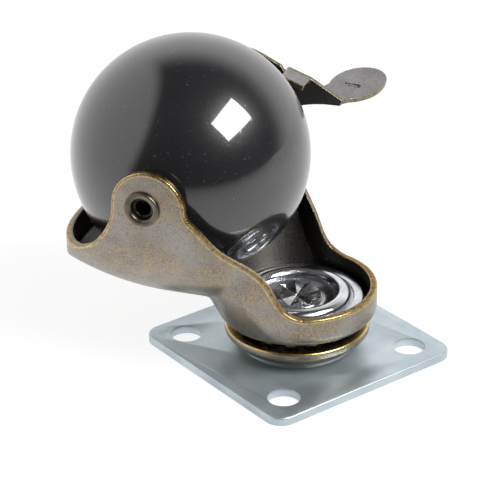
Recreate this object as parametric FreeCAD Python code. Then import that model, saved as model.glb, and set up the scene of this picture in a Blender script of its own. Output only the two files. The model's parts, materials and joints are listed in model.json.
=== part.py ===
# Ball castor with a swivelling pressed housing, a square mounting plate and a side brake lever.
# Millimetres. The origin is on the swivel axis at the plate's underside, with +Z up.
# The castor stands on its plate. The swivelling half is built with its ball towards -X and is
# then turned about the swivel axis to where it stands at rest.
import FreeCAD, Part
import math
import os

Vector = FreeCAD.Vector

# Driving sizes of the whole castor
ball_diameter = 40.0
total_height = 54.0
ball_offset = 18.5          # swivel axis to ball axis
castor_turn = 34.0          # degrees that the swivelling half stands turned from the plate's sides

# Mounting plate
plate_side = 38.0
plate_thickness = 1.5
plate_corner_radius = 3.0
hole_pitch = 27.0
hole_diameter = 5.4
dish_radius = 9.6           # raised middle that gives room for the pin's foot
dish_height = 1.3
dish_slope = 1.1            # run of the dish's sloping side
plate_edge_round = 0.3

# Swivel bearing
race_sheet = 1.2
race_slope = 1.6            # height and width of the slope from the race's foot to its wall
race_height = 2.8
lower_ball_diameter = 3.0
lower_ball_circle = 8.6
race_wall_gap = 1.0         # bearing balls' side to the inside of the race's wall
upper_ball_diameter = 2.0
ball_spacing = 0.35         # gap between neighbouring bearing balls
bearing_play = 0.06         # running gap over and under the bearing balls
pin_radius = 2.4
pin_foot_radius = 5.6
pin_foot_thickness = 1.1
pin_head_radius = 4.3
pin_head_height = 1.5
pin_head_taper = 0.4
pin_head_dish = 0.9         # depth of the star's grooves
pin_grooves = 4
pin_groove_share = 0.95     # part of the head's rim that the grooves take
pin_punch_radius = 0.6
spacer_wall = 1.0
fit_gap = 0.02              # gap between pieces that are pressed or riveted together
cap_sheet = 0.9
cap_head_gap = 0.7          # gap round the pin's head in the cap's sunk seat
cap_seat_lift = 0.35        # sunk middle over the housing's floor
cap_lip_width = 1.6
cap_lip_lift = 1.3
cap_groove_width = 0.4
cap_groove_depth = 0.5
cap_seat_slope = 1.2        # run from the sunk seat out to the domed ring
cap_dome_room = 1.0         # width of the domed ring over the upper bearing balls' diameter
cap_dome_rise = 0.2         # dome's top over one sheet above the upper bearing balls

# Pressed housing
housing_sheet = 1.2
ring_cap_gap = 1.1          # cap's edge to the inside of the cup round the swivel
ring_height = 5.4
ring_bottom_round = 2.0
floor_hole_gap = 0.6        # gap round the spacer in the housing's floor
ear_clearance = 1.2         # ball's side to the inside of each ear
ear_radius = 6.2
ear_shift = 0.8             # ear's middle past the ball's axis, towards the swivel
belly_drop = 0.9            # belly's curve is centred this far under the ball's axis
belly_curve = 50.0          # lengthways curve of the belly under the ball's outer half
belly_end_margin = 0.9      # outer end in plan, past the ball's side
belly_side_margin = 3.4     # half width of the rounded end's oval, past the ball's side
neck_start = 80.0           # degrees round the cup where the neck's side leaves it
neck_pull = 8.0
shoulder_run = 4.5          # straight stretch of each side past the ball's axis, towards the swivel
shoulder_spread = 0.5
throat_flare = 0.5          # growth of the throat's radius with height, from the cup's bottom round
throat_end = 12.0           # throat ends inside the belly this far under the ball's axis
flank_start = 5.4           # where the cup's rim starts to rise, from the swivel axis
flank_shape = ((0.178, 0.05), (0.269, 0.136), (0.355, 0.28), (0.497, 0.44),
               (0.657, 0.585), (0.80, 0.745), (0.917, 0.89))    # shares of the way to the ear
lip_depth = 13.4            # rim of the outer end under the ball's axis
lip_shape = ((0.015, 0.15), (0.084, 0.343), (0.20, 0.537), (0.35, 0.709), (0.55, 0.83))
lip_end_fall = 0.35         # slope of the rim at its outer end

# Axle, bushes and washers
axle_radius = 1.75
axle_recess = 0.9           # how far the axle's ends lie inside the eyelets' mouths
axle_bore_radius = 1.25     # blind bore in each end of the axle
axle_bore_depth = 3.0
eyelet_wall = 0.6
eyelet_flare = 0.55
eyelet_flare_thickness = 0.6
eyelet_stand = 0.1          # eyelet's inner end past the inside of its ear
bush_wall = 1.2
bush_length = 6.0
bush_flange_radius = 4.2
bush_flange_thickness = 0.6
running_gap = 0.05
washer_thickness = 0.5
washer_radius = 4.0
hub_play = 0.12             # side gap on each face of the thrust washers

# Brake lever. Its points are (along, up) from the ball's axis, along towards the swivel.
lever_sheet = 0.9
lever_washer_thickness = 0.5
lever_washer_radius = 5.4
lever_hub_radius = 6.4
lever_crest = (1.3, 10.2)       # highest point of the arm's upper edge
lever_brow = (-2.5, 8.9)        # upper edge between the hub and the crest
lever_shoulder = (8.35, 7.6)    # end of the upper edge, before the notch
lever_brow_lean = 0.2           # slope of the upper edge where it leaves the hub
lever_shoulder_fall = 0.45      # slope of the upper edge at the notch
lever_notch = (9.55, 7.4)       # outer corner of the tab
lever_notch_depth = 0.8
lever_tab_length = 4.4
lever_tab_slope = 20.0          # degrees that the tab falls towards the swivel
lever_tab_reach = 3.6
lever_tip = (19.5, 2.4)
lever_tip_cut = (-0.4, -1.0)    # from the tip to the arm's lower edge
lever_belly = ((11.5, 0.4), (6.7, -2.6))    # lower edge between the tip and the hub
paddle_along = 20.1             # paddle's middle from the ball's axis, towards the swivel
paddle_out = 6.6                # paddle's middle from the arm's outer face
paddle_root = 4.8               # width of the paddle's root along the arm's upper edge
paddle_half_length = 7.2
paddle_half_width = 3.7
paddle_swing = 68.5             # degrees of the paddle's long axis from the arm
paddle_fall = 0.30              # fall towards the swivel, height per length
paddle_rise = 0.10              # rise away from the housing
paddle_lift = 0.1               # top of the paddle's root over the arm's tip
slot_length = 2.6
slot_width = 1.0
slot_depth = 0.35
slot_angle = 19.0
slot_back = 1.4                 # slot's middle from the paddle's middle, towards the arm
paddle_blend = 60.0             # degrees round the paddle where its root's far side meets it

# Shares and allowances that many pieces use
overrun = 5.0               # how far cutting solids reach past what they cut
edge_tolerance = 0.01       # how near an edge lies to a height to be on it
bend_share = 0.4            # how much further in a bent sheet's inner corner lies, in sheets
race_lip_share = 0.35       # rounding of the race's upper edge, in sheets
roll_share = 0.45           # rounding of a rolled edge, part of the roll's thickness

# Worked out from the sizes above
ball_radius = ball_diameter / 2
race_radius = lower_ball_circle + lower_ball_diameter / 2 + race_wall_gap + race_sheet
cap_seat_radius = pin_head_radius + cap_head_gap
cap_dome_inner = cap_seat_radius + cap_seat_slope
cap_dome_outer = cap_dome_inner + upper_ball_diameter + cap_dome_room
cap_radius = cap_dome_outer + cap_groove_width + cap_lip_width
upper_ball_circle = (cap_dome_inner + cap_dome_outer) / 2
ring_radius = cap_radius + ring_cap_gap + housing_sheet
axle_height = total_height - ball_radius
ear_inner = ball_radius + ear_clearance
ear_outer = ear_inner + housing_sheet
dish_top = plate_thickness + dish_height
race_floor = dish_top + race_sheet
ring_bottom = race_floor + lower_ball_diameter + 2 * bearing_play
ring_floor = ring_bottom + housing_sheet
ring_rim = ring_bottom + ring_height
upper_ball_seat = ring_floor + bearing_play
upper_ball_top = upper_ball_seat + upper_ball_diameter
spacer_radius = pin_radius + fit_gap + spacer_wall
seat_under = ring_floor + cap_seat_lift
head_seat = seat_under + cap_sheet
lip_under = ring_floor + cap_lip_lift
lip_top = lip_under + cap_sheet
eyelet_bore = axle_radius + fit_gap
eyelet_radius = eyelet_bore + eyelet_wall
bush_bore = axle_radius + running_gap
bush_radius = bush_bore + bush_wall
washer_outer = math.sqrt(ear_inner ** 2 - washer_radius ** 2) - hub_play
washer_inner = washer_outer - washer_thickness
ball_flat = washer_inner - hub_play - bush_flange_thickness
lever_inner = ear_outer + lever_washer_thickness + 2 * fit_gap
lever_outer = lever_inner + lever_sheet
belly_reach = ball_radius + belly_end_margin
belly_half = ball_radius + belly_side_margin
race_foot_radius = race_radius - race_slope
ball_axis = Vector(-ball_offset, 0, axle_height)
ear_middle = ball_axis + Vector(ear_shift, 0, 0)


def disc(radius, low, high):
    """Upright cylinder about the swivel axis."""
    return Part.makeCylinder(radius, high - low, Vector(0, 0, low))


def collar(outer, inner, low, high):
    """Upright ring about the swivel axis."""
    return disc(outer, low, high).cut(disc(inner, low - overrun, high + overrun))


def spun(points):
    """Solid of revolution about the swivel axis from (radius, height) points."""
    outline = Part.makePolygon([Vector(r, 0, z) for r, z in points + points[:1]])
    return Part.Face(outline).revolve(Vector(0, 0, 0), Vector(0, 0, 1), 360)


def round_edges(solid, radius, wanted):
    """Fillet each edge that the test picks."""
    return solid.makeFillet(radius, [edge for edge in solid.Edges if wanted(edge)])


def side_cylinder(radius, start, end):
    """Cylinder along the axle's line, from start to end across the castor."""
    foot = Vector(ball_axis.x, start, ball_axis.z)
    return Part.makeCylinder(radius, end - start, foot, Vector(0, 1, 0))


def side_ring(outer, inner, start, end):
    """Ring on the axle's line."""
    return side_cylinder(outer, start, end).cut(side_cylinder(inner, start - overrun, end + overrun))


def mirrored(solid):
    """The same piece on the other side of the ball."""
    return solid.mirror(Vector(0, 0, 0), Vector(0, 1, 0))


def turned(solid):
    """A piece of the swivelling half, turned to where it stands at rest."""
    copy = solid.copy()
    copy.rotate(Vector(0, 0, 0), Vector(0, 0, 1), castor_turn)
    return copy


# Plate and swivel bearing
def make_plate():
    half = plate_side / 2
    plate = Part.makeBox(plate_side, plate_side, plate_thickness, Vector(-half, -half, 0))
    plate = round_edges(plate, plate_corner_radius,
                        lambda e: abs(e.BoundBox.ZLength - plate_thickness) < edge_tolerance)
    plate = round_edges(plate, plate_edge_round,
                        lambda e: e.BoundBox.ZMin > plate_thickness - edge_tolerance)
    dish = Part.makeCone(dish_radius, dish_radius - dish_slope, dish_height, Vector(0, 0, plate_thickness))
    hollow = Part.makeCone(dish_radius - dish_slope, dish_radius - 2 * dish_slope, dish_height)
    plate = plate.fuse(dish).cut(hollow)
    for side_x in (-1, 1):
        for side_y in (-1, 1):
            middle = Vector(side_x * hole_pitch / 2, side_y * hole_pitch / 2, -overrun)
            plate = plate.cut(Part.makeCylinder(hole_diameter / 2, plate_thickness + 2 * overrun, middle))
    return plate.cut(disc(pin_radius + fit_gap, -overrun, dish_top + overrun))


def make_lower_race():
    bore = pin_radius + fit_gap
    points = [(bore, dish_top), (race_foot_radius, dish_top),
              (race_radius, dish_top + race_slope), (race_radius, dish_top + race_height),
              (race_radius - race_sheet, dish_top + race_height),
              (race_radius - race_sheet, dish_top + race_slope + race_sheet * bend_share),
              (race_foot_radius - race_sheet * bend_share, race_floor), (bore, race_floor)]
    race = spun(points)
    return round_edges(race, race_sheet * race_lip_share,
                       lambda e: e.isClosed() and e.BoundBox.ZMin > dish_top + race_height - edge_tolerance)


def make_bearing_balls(diameter, circle, low):
    """Ring of separate bearing balls that stand at the height low."""
    count = int(2 * math.pi * circle / (diameter + ball_spacing))
    balls = []
    for index in range(count):
        angle = 2 * math.pi * index / count
        middle = Vector(circle * math.cos(angle), circle * math.sin(angle), low + diameter / 2)
        balls.append(Part.makeSphere(diameter / 2, middle))
    return Part.makeCompound(balls)


def make_spacer():
    return collar(spacer_radius, pin_radius + fit_gap, race_floor, seat_under - fit_gap)


def make_swivel_cap():
    """Pressed dished washer: flat lip, groove, domed ring and sunk seat for the pin's head."""
    bore = pin_radius + fit_gap
    lip_inner = cap_radius - cap_lip_width
    groove_floor = lip_top - cap_groove_depth
    hollow_top = upper_ball_top + bearing_play
    crest = Vector(upper_ball_circle, 0, hollow_top + cap_sheet + cap_dome_rise)
    outer_foot = Vector(cap_dome_outer, 0, groove_floor)
    inner_foot = Vector(cap_dome_inner, 0, lip_top - cap_dome_rise)
    hollow_outer = Vector(cap_dome_outer - cap_sheet / 3, 0, lip_under)
    hollow_crest = Vector(upper_ball_circle, 0, hollow_top)
    hollow_inner = Vector(cap_dome_inner, 0, lip_under - cap_dome_rise)
    seat_edge = cap_seat_radius + cap_sheet / 4
    edges = [
        Part.makePolygon([Vector(bore, 0, seat_under), Vector(seat_edge, 0, seat_under), hollow_inner]),
        Part.Arc(hollow_inner, hollow_crest, hollow_outer).toShape(),
        Part.makePolygon([hollow_outer, Vector(cap_radius, 0, lip_under),
                          Vector(cap_radius, 0, lip_top), Vector(lip_inner, 0, lip_top),
                          Vector(lip_inner - cap_groove_width / 3, 0, groove_floor), outer_foot]),
        Part.Arc(outer_foot, crest, inner_foot).toShape(),
        Part.makePolygon([inner_foot, Vector(cap_seat_radius, 0, head_seat),
                          Vector(bore, 0, head_seat), Vector(bore, 0, seat_under)]),
    ]
    outline = Part.Wire([edge for part in edges for edge in part.Edges])
    cap = Part.Face(outline).revolve(Vector(0, 0, 0), Vector(0, 0, 1), 360)
    return round_edges(cap, cap_sheet / 3,
                       lambda e: e.isClosed() and e.BoundBox.ZMin > lip_top - edge_tolerance
                       and e.BoundBox.XMax > cap_radius - edge_tolerance)


def make_king_pin():
    """Riveted pin: flat foot under the plate's dish and a peened star head on the cap."""
    foot_top = dish_height
    foot = disc(pin_foot_radius, foot_top - pin_foot_thickness, foot_top)
    shank = disc(pin_radius, foot_top - pin_foot_thickness, head_seat + pin_head_height / 3)
    head_low = head_seat + fit_gap
    top = head_low + pin_head_height
    head = Part.makeCone(pin_head_radius, pin_head_radius - pin_head_taper, pin_head_height,
                         Vector(0, 0, head_low))
    pin = foot.fuse([shank, head])
    half_width = pin_head_radius * math.tan(math.pi / 2 / pin_grooves) * pin_groove_share
    section = Part.Face(Part.makePolygon([
        Vector(-2 * pin_head_radius, -half_width, top),
        Vector(-2 * pin_head_radius, 0, top - pin_head_dish),
        Vector(-2 * pin_head_radius, half_width, top),
        Vector(-2 * pin_head_radius, 0, top + pin_head_dish),
        Vector(-2 * pin_head_radius, -half_width, top)]))
    groove = section.extrude(Vector(4 * pin_head_radius, 0, 0))
    for index in range(pin_grooves):
        cutter = groove.copy()
        cutter.rotate(Vector(0, 0, 0), Vector(0, 0, 1), 180.0 * index / pin_grooves + castor_turn)
        pin = pin.cut(cutter)
    punch_low = top - pin_head_dish - pin_punch_radius / 2
    punch = Part.makeCone(0, pin_punch_radius, pin_punch_radius, Vector(0, 0, punch_low))
    return pin.cut(punch)


# Housing
def belly_block(inset):
    """Round-bellied block under and round the ball, bounded inset inside the sheet's outer face."""
    radius = ear_outer - inset
    curve = belly_curve - inset
    far = ball_axis.x - belly_reach - overrun
    drop = radius - (curve - math.sqrt(curve ** 2 - (ball_axis.x - far) ** 2))
    half = (ball_axis.x - far) / 2
    mid_radius = radius - (curve - math.sqrt(curve ** 2 - half ** 2))
    near = ring_radius
    arc = Part.Arc(Vector(far, 0, -drop), Vector(ball_axis.x - half, 0, -mid_radius),
                   Vector(ball_axis.x, 0, -radius)).toShape()
    rest = Part.makePolygon([Vector(ball_axis.x, 0, -radius), Vector(near, 0, -radius),
                             Vector(near, 0, 0), Vector(far, 0, 0), Vector(far, 0, -drop)])
    profile = Part.Face(Part.Wire([arc] + rest.Edges))
    barrel = profile.revolve(Vector(0, 0, 0), Vector(1, 0, 0), 360)
    flat = profile.copy()
    flat.rotate(Vector(0, 0, 0), Vector(1, 0, 0), 90)
    flat = flat.fuse(flat.mirror(Vector(0, 0, 0), Vector(0, 1, 0)))
    block = barrel.fuse(flat.extrude(Vector(0, 0, 2 * ear_radius)))
    block.translate(Vector(0, 0, axle_height - belly_drop))
    return block


def plan_block(inset):
    """Upright block of the housing's outline seen from above."""
    radius = ring_radius - inset
    side = ear_outer + shoulder_spread - inset
    angle = math.radians(neck_start)
    start = Vector(radius * math.cos(angle), radius * math.sin(angle), 0)
    end = Vector(ball_axis.x + shoulder_run, side, 0)
    first = start + Vector(-math.sin(angle), math.cos(angle), 0) * neck_pull
    second = end + Vector(neck_pull, 0, 0)
    curve = Part.BezierCurve()
    curve.setPoles([start, first, second, end])
    neck = curve.toShape()
    far = ball_axis.x - belly_reach - overrun
    straight = Part.makePolygon([end, Vector(far, side, 0), Vector(far, -side, 0),
                                 Vector(end.x, -side, 0)])
    other = neck.mirror(Vector(0, 0, 0), Vector(0, 1, 0))
    tip = Part.Arc(Vector(start.x, -start.y, 0), Vector(radius, 0, 0), start).toShape()
    outline = Part.Wire(Part.__sortEdges__([tip, neck] + straight.Edges + other.Edges))
    return Part.Face(outline).extrude(Vector(0, 0, total_height))


def end_cutter(inset):
    """Upright oval about the ball that rounds the belly's outer end, open towards the swivel."""
    half = belly_half - inset
    middle = Vector(ball_axis.x, 0, 0)
    oval = Part.Ellipse(Vector(middle.x, half, 0), Vector(middle.x + belly_reach - inset, 0, 0), middle)
    end = Part.Face(Part.Wire(oval.toShape())).extrude(Vector(0, 0, total_height))
    box = Part.makeBox(2 * ring_radius - middle.x, 2 * half, total_height, Vector(middle.x, -half, 0))
    return end.fuse(box)


def throat_block(inset):
    """Cone about the swivel axis that carries the cup's bottom round up to the belly."""
    lean = math.atan(throat_flare)
    bottom_round = ring_bottom_round - inset
    low = ring_bottom + ring_bottom_round - bottom_round * math.sin(lean)
    radius = ring_radius - ring_bottom_round + bottom_round * math.cos(lean)
    height = axle_height - throat_end - low
    cone = Part.makeCone(radius, radius + throat_flare * height, height, Vector(0, 0, low))
    return cone.common(plan_block(inset))


def housing_block(inset):
    """Solid filled out to the sheet's outer face, or to its inner face at an inset of one sheet."""
    belly = belly_block(inset).common(plan_block(inset)).common(end_cutter(inset))
    cup_low = ring_bottom + inset
    cup = disc(ring_radius - inset, cup_low, ring_rim + 2 * ear_radius)
    cup = round_edges(cup, ring_bottom_round - inset,
                      lambda e: e.BoundBox.ZMax < cup_low + edge_tolerance)
    return belly.fuse([cup, throat_block(inset)]).removeSplitter()


def side_points(start, end, shape):
    """Points from start to end in the side view, at shares of the way along and up."""
    way = end - start
    between = [start + Vector(way.x * along, 0, way.z * up) for along, up in shape]
    return [start] + between + [end]


def rim_cutter():
    """Everything above the housing's rim, drawn from the side: cup rim, flank, ear and outer lip."""
    ear_right = ear_middle + Vector(ear_radius, 0, 0)
    ear_top = ear_middle + Vector(0, 0, ear_radius)
    ear_left = ear_middle + Vector(-ear_radius, 0, 0)
    cup_edge = Vector(flank_start, 0, ring_rim)
    lip_end = ball_axis + Vector(-belly_reach, 0, -lip_depth)
    flank = Part.BSplineCurve()
    flank.interpolate(side_points(cup_edge, ear_right, flank_shape),
                      InitialTangent=Vector(-1, 0, 0), FinalTangent=Vector(0, 0, 1), Scale=False)
    lip = Part.BSplineCurve()
    lip.interpolate(side_points(ear_left, lip_end, lip_shape),
                    InitialTangent=Vector(0, 0, -1), FinalTangent=Vector(-1, 0, -lip_end_fall),
                    Scale=False)
    top = total_height + overrun
    right = 2 * ring_radius
    left = lip_end.x - overrun
    edges = [Part.makePolygon([Vector(right, 0, ring_rim), cup_edge]).Edges[0],
             flank.toShape(),
             Part.Arc(ear_right, ear_top, ear_left).toShape(),
             lip.toShape()]
    frame = Part.makePolygon([lip_end, Vector(left, 0, lip_end.z), Vector(left, 0, top),
                              Vector(right, 0, top), Vector(right, 0, ring_rim)])
    face = Part.Face(Part.Wire(edges + frame.Edges))
    cutter = face.extrude(Vector(0, 4 * ear_outer, 0))
    cutter.translate(Vector(0, -2 * ear_outer, 0))
    return cutter


def make_housing():
    shell = housing_block(0).cut(housing_block(housing_sheet))
    shell = shell.cut(rim_cutter())
    shell = shell.cut(disc(spacer_radius + floor_hole_gap, ring_bottom - overrun, ring_floor + overrun))
    shell = shell.cut(side_cylinder(eyelet_radius + fit_gap, -2 * ear_outer, 2 * ear_outer))
    return shell


# Ball, axle and what carries them
def make_ball():
    ball = Part.makeSphere(ball_radius, ball_axis)
    slab = Part.makeBox(4 * ball_radius, 2 * ball_flat, 4 * ball_radius,
                        Vector(ball_axis.x - 2 * ball_radius, -ball_flat, ball_axis.z - 2 * ball_radius))
    ball = ball.common(slab)
    return ball.cut(side_cylinder(bush_radius + fit_gap, -2 * ball_radius, 2 * ball_radius))


def make_bush():
    sleeve = side_ring(bush_radius, bush_bore, ball_flat - bush_length, ball_flat)
    flange = side_ring(bush_flange_radius, bush_bore, ball_flat, ball_flat + bush_flange_thickness)
    return sleeve.fuse(flange)


def make_thrust_washer():
    return side_ring(washer_radius, bush_bore, washer_inner, washer_outer)


def make_eyelet(outer_face):
    """Tubular eyelet pressed into an ear, rolled over outside at the outer face."""
    inner_face = ear_inner - eyelet_stand
    mouth = outer_face + eyelet_flare_thickness
    tube = side_ring(eyelet_radius, eyelet_bore, inner_face, mouth)
    roll = side_ring(eyelet_radius + eyelet_flare, eyelet_bore, outer_face, mouth)
    eyelet = tube.fuse(roll)
    return round_edges(eyelet, eyelet_flare_thickness * roll_share,
                       lambda e: e.isClosed() and e.BoundBox.YMin > mouth - edge_tolerance)


def make_axle(near_face, far_face):
    """Plain pin with a blind bore in each end."""
    near = -near_face + axle_recess
    far = far_face - axle_recess
    axle = side_cylinder(axle_radius, near, far)
    axle = axle.cut(side_cylinder(axle_bore_radius, near - overrun, near + axle_bore_depth))
    return axle.cut(side_cylinder(axle_bore_radius, far - axle_bore_depth, far + overrun))


# Brake lever
def lever_point(place):
    """Point in the middle plane at (along, up) from the ball's axis."""
    return ball_axis + Vector(place[0], 0, place[1])


def make_lever_web():
    """Flat arm of the lever: hub on the axle's line, crest, notch and arm out to the paddle."""
    hub_left = lever_point((-lever_hub_radius, 0))
    hub_low = lever_point((0, -lever_hub_radius))
    corner = lever_hub_radius * math.sqrt(0.5)
    hub_between = lever_point((-corner, -corner))
    shoulder = lever_point(lever_shoulder)
    notch = lever_point(lever_notch)
    notch_foot = Vector((shoulder.x + notch.x) / 2, 0, notch.z - lever_notch_depth)
    slope = math.radians(lever_tab_slope)
    tab_end = notch + Vector(math.cos(slope), 0, -math.sin(slope)) * lever_tab_length
    tip = lever_point(lever_tip)
    tip_low = tip + Vector(lever_tip_cut[0], 0, lever_tip_cut[1])
    top = Part.BSplineCurve()
    top.interpolate([hub_left, lever_point(lever_brow), lever_point(lever_crest), shoulder],
                    InitialTangent=Vector(lever_brow_lean, 0, 1),
                    FinalTangent=Vector(1, 0, -lever_shoulder_fall), Scale=False)
    under = Part.BSplineCurve()
    under.interpolate([tip_low, lever_point(lever_belly[0]), lever_point(lever_belly[1]), hub_low],
                      InitialTangent=Vector(-1, 0, 0), FinalTangent=Vector(-1, 0, 0), Scale=False)
    straight = Part.makePolygon([shoulder, notch_foot, notch, tab_end, tip, tip_low])
    hub = Part.Arc(hub_low, hub_between, hub_left).toShape()
    face = Part.Face(Part.Wire([top.toShape()] + straight.Edges + [under.toShape(), hub]))
    web = face.extrude(Vector(0, lever_sheet, 0))
    web.translate(Vector(0, lever_inner, 0))
    return web


def make_lever_tab():
    """Tab folded over towards the ball from the arm's upper edge."""
    reach = lever_tab_reach + lever_sheet
    notch = lever_point(lever_notch)
    tab = Part.makeBox(lever_tab_length, reach, lever_sheet,
                       Vector(0, lever_outer - reach, -lever_sheet))
    tab.rotate(Vector(0, 0, 0), Vector(0, 1, 0), lever_tab_slope)
    tab.translate(notch)
    return tab


def make_paddle():
    """Leaf-shaped foot paddle that stands out from the arm, with a pressed slot in its top."""
    normal = Vector(paddle_fall, -paddle_rise, 1)
    normal.normalize()
    tip = lever_point(lever_tip)
    middle_x = ball_axis.x + paddle_along
    middle_z = tip.z + paddle_lift - paddle_fall * (middle_x - tip.x) + paddle_rise * paddle_out
    middle = Vector(middle_x, lever_outer + paddle_out, middle_z)
    swing = math.radians(paddle_swing)
    along = Vector(math.cos(swing), math.sin(swing), 0)
    along = along - normal * along.dot(normal)
    along.normalize()
    across = normal.cross(along)
    oval = Part.Ellipse(middle + along * paddle_half_length, middle + across * paddle_half_width, middle)
    plate = Part.Face(Part.Wire(oval.toShape())).extrude(normal * -lever_sheet)
    root_y = lever_inner + lever_sheet / 4
    blend = math.radians(paddle_blend)
    outer_left = (middle + along * paddle_half_length * math.cos(blend)
                  + across * paddle_half_width * math.sin(blend))
    corners = []
    for point in (Vector(tip.x - paddle_root, root_y, 0), Vector(tip.x, root_y, 0),
                  middle - across * paddle_half_width, outer_left):
        off = normal.x * (point.x - middle.x) + normal.y * (point.y - middle.y)
        corners.append(Vector(point.x, point.y, middle.z - off / normal.z))
    root = Part.Face(Part.makePolygon(corners + corners[:1])).extrude(normal * -lever_sheet)
    slot = Part.makeBox(slot_length, slot_width, slot_depth * 2,
                        Vector(-slot_length / 2, -slot_width / 2, -slot_depth))
    slot = round_edges(slot, slot_width * roll_share,
                       lambda e: abs(e.BoundBox.ZLength - slot_depth * 2) < edge_tolerance)
    slot.rotate(Vector(0, 0, 0), Vector(0, 0, 1), slot_angle)
    lean = FreeCAD.Rotation(Vector(0, 0, 1), normal)
    seat = FreeCAD.Placement(middle - along * slot_back, lean)
    slot.Placement = seat.multiply(slot.Placement)
    return plate.fuse(root).cut(slot)


def make_brake_lever():
    lever = make_lever_web().fuse([make_lever_tab(), make_paddle()])
    bore = eyelet_radius + running_gap
    lever = lever.cut(side_cylinder(bore, lever_inner - overrun, lever_outer + overrun))
    return lever.removeSplitter()


def make_lever_washer():
    start = ear_outer + fit_gap
    return side_ring(lever_washer_radius, eyelet_radius + fit_gap, start, start + lever_washer_thickness)


# All pieces by name
def make_pieces():
    far_face = lever_outer + running_gap
    fixed = {
        "mounting_plate": make_plate(),
        "lower_race": make_lower_race(),
        "lower_bearing_balls": make_bearing_balls(lower_ball_diameter, lower_ball_circle,
                                                  race_floor + bearing_play),
        "upper_bearing_balls": make_bearing_balls(upper_ball_diameter, upper_ball_circle, upper_ball_seat),
        "pin_spacer": make_spacer(),
        "swivel_cap": make_swivel_cap(),
        "king_pin": make_king_pin(),
    }
    swivelling = {
        "housing": make_housing(),
        "near_eyelet": mirrored(make_eyelet(ear_outer)),
        "far_eyelet": make_eyelet(far_face),
        "axle": make_axle(ear_outer + eyelet_flare_thickness, far_face + eyelet_flare_thickness),
        "near_thrust_washer": mirrored(make_thrust_washer()),
        "far_thrust_washer": make_thrust_washer(),
        "lever_washer": make_lever_washer(),
        "ball": make_ball(),
        "near_bush": mirrored(make_bush()),
        "far_bush": make_bush(),
        "brake_lever": make_brake_lever(),
    }
    pieces = dict(fixed)
    for name, solid in swivelling.items():
        pieces[name] = turned(solid)
    return pieces


os.makedirs("parts", exist_ok=True)
for name, shape in make_pieces().items():
    shape.exportStep("parts/" + name + ".step")
    box = shape.BoundBox
    print(name, "solids", len(shape.Solids), "valid", shape.isValid(), "volume", round(shape.Volume, 1),
          "z", round(box.ZMin, 2), round(box.ZMax, 2))
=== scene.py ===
"""Looks of a ball castor: finishes, turned and pressed pieces, and the studio it stands in."""

import json
import logging
import math
from abc import ABC, abstractmethod
from dataclasses import dataclass, field
from enum import Enum
from typing import Any, Callable, Iterable, Optional

import bpy
from mathutils import Matrix, Vector
from mathutils.bvhtree import BVHTree
from mathutils.kdtree import KDTree


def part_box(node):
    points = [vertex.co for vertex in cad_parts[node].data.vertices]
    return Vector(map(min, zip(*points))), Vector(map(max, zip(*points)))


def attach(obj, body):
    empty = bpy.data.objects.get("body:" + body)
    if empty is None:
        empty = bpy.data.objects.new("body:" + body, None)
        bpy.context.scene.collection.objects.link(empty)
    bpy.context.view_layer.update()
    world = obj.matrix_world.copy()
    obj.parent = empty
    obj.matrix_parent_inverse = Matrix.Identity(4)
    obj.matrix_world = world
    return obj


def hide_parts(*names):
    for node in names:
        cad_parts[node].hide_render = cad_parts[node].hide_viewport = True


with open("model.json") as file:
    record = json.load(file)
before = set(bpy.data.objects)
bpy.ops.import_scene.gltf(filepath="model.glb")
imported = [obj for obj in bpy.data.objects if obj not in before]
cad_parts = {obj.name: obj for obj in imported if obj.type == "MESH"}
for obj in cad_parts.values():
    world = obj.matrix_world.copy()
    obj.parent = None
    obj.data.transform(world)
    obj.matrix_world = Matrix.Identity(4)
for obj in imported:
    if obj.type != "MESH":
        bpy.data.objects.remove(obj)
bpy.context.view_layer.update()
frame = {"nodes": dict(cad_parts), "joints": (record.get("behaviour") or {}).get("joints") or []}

MM = 0.001
CAD_MERGE_MM = 0.002
SPIN_MERGE_MM = 0.001
ROUNDED_SHARE = 0.45
NOISE_RANGE = (0.3, 0.7)
WAVE_PERIOD = math.tau / 20  # one ring of the wave texture at a scale of one
LOG = logging.getLogger("castor")

Tree = bpy.types.NodeTree
Node = bpy.types.Node
Piece = bpy.types.Object
Link = tuple[Node, Any]
Sockets = dict[Any, Any]
Pair = tuple[float, float]
Profile = list[Pair]
Steps = tuple[Pair, ...]
PointTest = Callable[[Vector, Vector], bool]


def linear(hex_colour: str) -> tuple[float, float, float, float]:
    """Turn an sRGB hex colour into linear RGBA.

    Args:
        hex_colour: six hex digits after a hash sign.

    Returns:
        Red, green, blue and an alpha of one, in linear light.
    """
    channels = [int(hex_colour[i:i + 2], 16) / 255 for i in (1, 3, 5)]
    red, green, blue = (c / 12.92 if c <= 0.04045 else ((c + 0.055) / 1.055) ** 2.4 for c in channels)
    return (red, green, blue, 1.0)


def fill(tree: Tree, node: Node, inputs: Sockets) -> None:
    """Fill a node's sockets with values or hex colours, or link (node, output) pairs to them."""
    for name, value in inputs.items():
        if isinstance(value, tuple) and isinstance(value[0], Node):
            tree.links.new(value[0].outputs[value[1]], node.inputs[name])
        else:
            node.inputs[name].default_value = linear(value) if isinstance(value, str) else value


def add_node(tree: Tree, kind: str, settings: Optional[Sockets] = None,
             inputs: Optional[Sockets] = None) -> Node:
    """Add a node to a tree, set its properties and fill its sockets.

    Args:
        tree: the node tree.
        kind: the shader node's type name, without its ShaderNode prefix.
        settings: node properties by name.
        inputs: what goes into its sockets, by their names or indices.

    Returns:
        The new node.
    """
    node = tree.nodes.new("ShaderNode" + kind)
    for name, value in (settings or {}).items():
        setattr(node, name, value)
    fill(tree, node, inputs or {})
    return node


def emptied(owner: Any) -> Tree:
    """Give the node tree of a material or a world, with nothing in it."""
    owner.use_nodes = True
    owner.node_tree.nodes.clear()
    return owner.node_tree


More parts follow.
